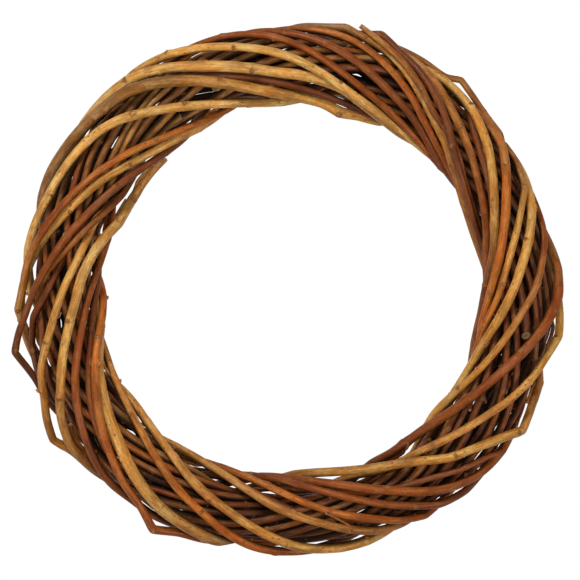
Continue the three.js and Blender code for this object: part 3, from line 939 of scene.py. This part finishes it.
def grain_colour(build, place, tint, bark):
    """Bark colour: lengthwise streaks, warm blotches, pale scuffs and dark pores."""
    streaks = build.noise(place, 1000, 4, 0.07)
    fine = build.noise(place, 1500, 3, 0.3)
    mottle = build.noise(place, 640, 4, 0.35)
    blotches = build.noise(place, 260, 3, 0.3)
    slow = build.noise(place, 70, 2, 0.5)
    darker = build.mix(1.0, tint, (0.50, 0.36, 0.27, 1), "MULTIPLY")
    warmer = build.mix(1.0, tint, (1.00, 0.69, 0.36, 1), "MULTIPLY")
    paler = build.mix(1.0, tint, (1.30, 1.46, 1.85, 1), "MULTIPLY")
    scuffs = build.noise(place, 110, 4, 0.4)
    colour = tint
    for pattern, starts, full, strength, toward in (
        (slow, 0.44, 0.60, 0.75, warmer),
        (mottle, 0.46, 0.36, 0.48, paler),
        (mottle, 0.50, 0.57, 0.75, warmer),
        (blotches, 0.52, 0.61, 0.60, darker),
        (blotches, 0.46, 0.38, 0.32, paler),
        (streaks, 0.51, 0.60, 0.42, darker),
        (streaks, 0.44, 0.34, 0.25, paler),
        (fine, 0.51, 0.61, 0.40, darker),
        (scuffs, 0.64, 0.72, 0.60, paler),
    ):
        colour = build.mix(build.ramp(pattern, starts, full, 0, strength), colour, toward)
    pores = build.add("ShaderNodeTexVoronoi", [("feature", "F1")], Scale=360.0, Randomness=1.0)
    build.put(pores, "Vector", build.stretched(place, (0.75, 1, 1)))
    pore_number = build.add("ShaderNodeSeparateColor", Color=pores.outputs["Color"]).outputs[0]
    pore_shape = build.ramp(pores.outputs["Distance"], 0.25, 0.13)
    dots = build.times(pore_shape, build.ramp(pore_number, 0.50, 0.57))
    colour = build.mix(build.times(dots, 0.65), colour, (*bark.scar, 1))
    return colour, streaks, fine, blotches, dots


def bark_material(name, bark):
    """Willow bark whose tint with its painted shade, scars and cuts come from the rod's own corners."""
    material = bpy.data.materials.new(name)
    material.use_nodes = True
    build = NodeBuilder(material)
    place = build.attribute("bark_place").outputs["Vector"]
    tint = build.attribute("tint_with_painted_shade").outputs["Color"]
    scar = build.attribute("scar").outputs["Fac"]
    cut = build.attribute("cut").outputs["Fac"]
    colour, streaks, fine, blotches, dots = grain_colour(build, place, tint, bark)

    speckle = build.noise(place, 2600, 3)
    cork = build.mix(build.ramp(speckle, 0.46, 0.58), (*bark.scar, 1), (0.42, 0.160, 0.045, 1))
    scarred = build.ramp(build.plus(scar, build.times(speckle, 0.5)), 0.40, 0.80)
    colour = build.mix(scarred, colour, cork)
    fleck = build.times(build.ramp(scar, 0.70, 0.88), build.ramp(speckle, 0.48, 0.56))
    colour = build.mix(fleck, colour, (*bark.bud_fleck, 1))

    fibres = build.noise(place, 3200, 3, 0.3)
    parts = build.add("ShaderNodeSeparateXYZ", Vector=place)
    across, up = (build.math("POWER", parts.outputs[k], 2.0) for k in (1, 2))
    from_pith = build.math("SQRT", build.plus(across, up))
    wood = build.mix(build.ramp(fibres, 0.35, 0.7), (*bark.cut_wood, 1), (0.36, 0.19, 0.08, 1))
    wood = build.mix(build.ramp(from_pith, 0.0006, 0.0003), wood, (0.16, 0.085, 0.045, 1))
    colour = build.mix(build.ramp(cut, 0.35, 0.65), colour, wood)

    rough = build.ramp(blotches, 0.3, 0.7, bark.gloss_roughness - 0.06, bark.gloss_roughness + 0.14)
    rough = build.plus(rough, build.times(scarred, 0.25))
    depth = build.ramp(build.add("ShaderNodeSeparateColor", Color=tint).outputs[0], 0.12, 0.03, 0, 0.3)
    rough = build.plus(rough, depth)
    relief = build.plus(streaks, build.times(fine, 0.6))
    relief = build.plus(relief, build.times(dots, -0.6))
    corky = build.times(speckle, scarred)
    relief = build.plus(relief, build.times(corky, 1.6))
    bump = build.add("ShaderNodeBump", Strength=bark.relief, Distance=0.0003, Height=relief)

    shader = build.add("ShaderNodeBsdfPrincipled", Base_Color=colour, Roughness=rough)
    build.put(shader, "Normal", bump.outputs["Normal"])
    build.put(shader, "Specular IOR Level", 0.19)
    build.put(shader, "Specular Tint", (1.0, 0.90, 0.76, 1))
    build.put(shader, "Coat Weight", 0.04)
    build.put(shader, "Coat Roughness", 0.2)
    build.add("ShaderNodeOutputMaterial", Surface=shader.outputs["BSDF"])
    return material


def bark_materials(bark):
    """One bark material for each slot of the record, made once."""
    materials = {}
    for slot in dict.fromkeys(SLOT_OF_ROD.values()):
        name = "willow_" + slot
        materials[slot] = bpy.data.materials.get(name) or bark_material(name, bark)
    return materials


def build_rods(context, prefix, sides_count, step_scale, thickness_share):
    """Shapes every rod whose node starts with prefix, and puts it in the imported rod's place."""
    names = sorted(name for name in frame["nodes"] if name.startswith(prefix))
    if not names:
        raise RuntimeError(f"the packed model has no rod named {prefix}")
    shape, bark = context.scene.wreath_rods, context.scene.wreath_bark
    materials = bark_materials(bark)
    for name in names:
        slot = SLOT_OF_ROD[name]
        piece = shape_rod(name, materials[slot], sides_count, step_scale, thickness_share, shape, bark)
        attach(piece, "root")
        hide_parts(name)


class WREATH_OT_surface_rods(bpy.types.Operator):
    """Shape the long rods that come to the front of the bundle"""

    bl_idname = "wreath.surface_rods"
    bl_label = "Surface rods"

    def execute(self, context):
        shape = context.scene.wreath_rods
        build_rods(context, "willow_rod", shape.sides, 1.0, shape.thickness)
        return {"FINISHED"}


class WREATH_OT_inner_rods(bpy.types.Operator):
    """Shape the rods that are wound the other way inside the bundle"""

    bl_idname = "wreath.inner_rods"
    bl_label = "Inner rods"

    def execute(self, context):
        shape = context.scene.wreath_rods
        build_rods(context, "inner_rod", shape.inner_sides, INNER_STEP_SCALE, shape.inner_thickness)
        return {"FINISHED"}


class WREATH_OT_core_rods(bpy.types.Operator):
    """Shape the rods in the middle of the bundle"""

    bl_idname = "wreath.core_rods"
    bl_label = "Core rods"

    def execute(self, context):
        shape = context.scene.wreath_rods
        build_rods(context, "core_rod", shape.inner_sides, CORE_STEP_SCALE, shape.inner_thickness)
        return {"FINISHED"}


def floor_material(stage):
    """A pale floor that keeps its brightness under the wreath, so shadows on it stay faint."""
    material = bpy.data.materials.new("pale_floor")
    material.use_nodes = True
    build = NodeBuilder(material)
    matt = build.add("ShaderNodeBsdfDiffuse", Color=(*stage.floor_colour, 1))
    glow = build.add("ShaderNodeEmission", Color=(1, 1, 1, 1), Strength=1.05)
    path = build.add("ShaderNodeLightPath")
    seen = build.math("MAXIMUM", path.outputs["Is Camera Ray"], path.outputs["Is Glossy Ray"])
    both = build.add("ShaderNodeMixShader")
    build.put(both, "0", build.times(seen, stage.floor_glow))
    build.put(both, "1", matt.outputs[0])
    build.put(both, "2", glow.outputs[0])
    build.add("ShaderNodeOutputMaterial", Surface=both.outputs[0])
    return material


def studio_sky(stage):
    """A pale backdrop all round, which gives only a little even light."""
    world = bpy.data.worlds.new("studio_sky")
    world.use_nodes = True
    build = NodeBuilder(world)
    seen = build.add("ShaderNodeLightPath").outputs["Is Camera Ray"]
    strength = build.ramp(seen, 0, 1, stage.sky_strength, 1.0)
    background = build.add("ShaderNodeBackground", Color=(1, 1, 1, 1), Strength=strength)
    build.add("ShaderNodeOutputWorld", Surface=background.outputs[0])
    return world


def add_softbox(name, place, size, power):
    """A square soft light aimed at the middle of the wreath."""
    light = bpy.data.lights.new(name, "AREA")
    light.size = size
    light.energy = power
    lamp = bpy.data.objects.new(name, light)
    lamp.location = place
    lamp.rotation_euler = (-Vector(place)).to_track_quat("-Z", "Y").to_euler()
    bpy.context.scene.collection.objects.link(lamp)


class WREATH_OT_stage(bpy.types.Operator):
    """Set the pale floor, the soft lights and the camera"""

    bl_idname = "wreath.stage"
    bl_label = "Stage"

    def execute(self, context):
        scene = context.scene
        stage = scene.wreath_stage

        half = 30.0
        floor_corners = [(-half, -half, 0), (half, -half, 0), (half, half, 0), (-half, half, 0)]
        mesh = bpy.data.meshes.new("floor")
        mesh.from_pydata(floor_corners, [], [(0, 1, 2, 3)])
        mesh.materials.append(floor_material(stage))
        floor = bpy.data.objects.new("floor", mesh)
        scene.collection.objects.link(floor)

        add_softbox("overhead_light", (0.05, 0.05, 2.0), 0.5, stage.overhead_power)
        add_softbox("key_light", (-0.60, 1.28, 1.41), 0.4, stage.key_power)
        add_softbox("fill_light", (1.32, -0.48, 1.41), 0.5, stage.fill_power)
        add_softbox("low_light", (-1.50, -0.80, 1.05), 0.5, stage.low_power)

        scene.world = studio_sky(stage)
        scene.view_settings.view_transform = "Standard"

        data = bpy.data.cameras.new("camera")
        data.sensor_width = 36
        data.lens = data.sensor_width * stage.camera_distance / stage.photo_width
        data.clip_end = 20
        camera = bpy.data.objects.new("camera", data)
        camera.location = Vector(stage.camera_aim) + Vector((0, 0, stage.camera_distance))
        scene.collection.objects.link(camera)
        scene.camera = camera
        return {"FINISHED"}


class WREATH_PT_panel(bpy.types.Panel):
    """The wreath's operators and settings"""

    bl_idname = "WREATH_PT_panel"
    bl_label = "Willow wreath"
    bl_space_type = "VIEW_3D"
    bl_region_type = "UI"
    bl_category = "Wreath"

    def draw(self, context):
        layout = self.layout
        for operator in OPERATORS:
            layout.operator(operator.bl_idname)
        for group in (context.scene.wreath_bark, context.scene.wreath_rods, context.scene.wreath_stage):
            box = layout.box()
            for name in group.__annotations__:
                box.prop(group, name)


OPERATORS = (
    WREATH_OT_stage,
    WREATH_OT_surface_rods,
    WREATH_OT_inner_rods,
    WREATH_OT_core_rods,
)
GROUPS = {"wreath_bark": WreathBark, "wreath_rods": WreathRods, "wreath_stage": WreathStage}


def register():
    for group in GROUPS.values():
        bpy.utils.register_class(group)
    for name, group in GROUPS.items():
        setattr(bpy.types.Scene, name, PointerProperty(type=group))
    for operator in OPERATORS:
        bpy.utils.register_class(operator)
    bpy.utils.register_class(WREATH_PT_panel)


def unregister():
    bpy.utils.unregister_class(WREATH_PT_panel)
    for operator in reversed(OPERATORS):
        bpy.utils.unregister_class(operator)
    for name, group in GROUPS.items():
        delattr(bpy.types.Scene, name)
        bpy.utils.unregister_class(group)


def main():
    register()
    bpy.ops.wreath.stage()
    bpy.ops.wreath.surface_rods()
    bpy.ops.wreath.inner_rods()
    bpy.ops.wreath.core_rods()


if __name__ == "__main__":
    main()
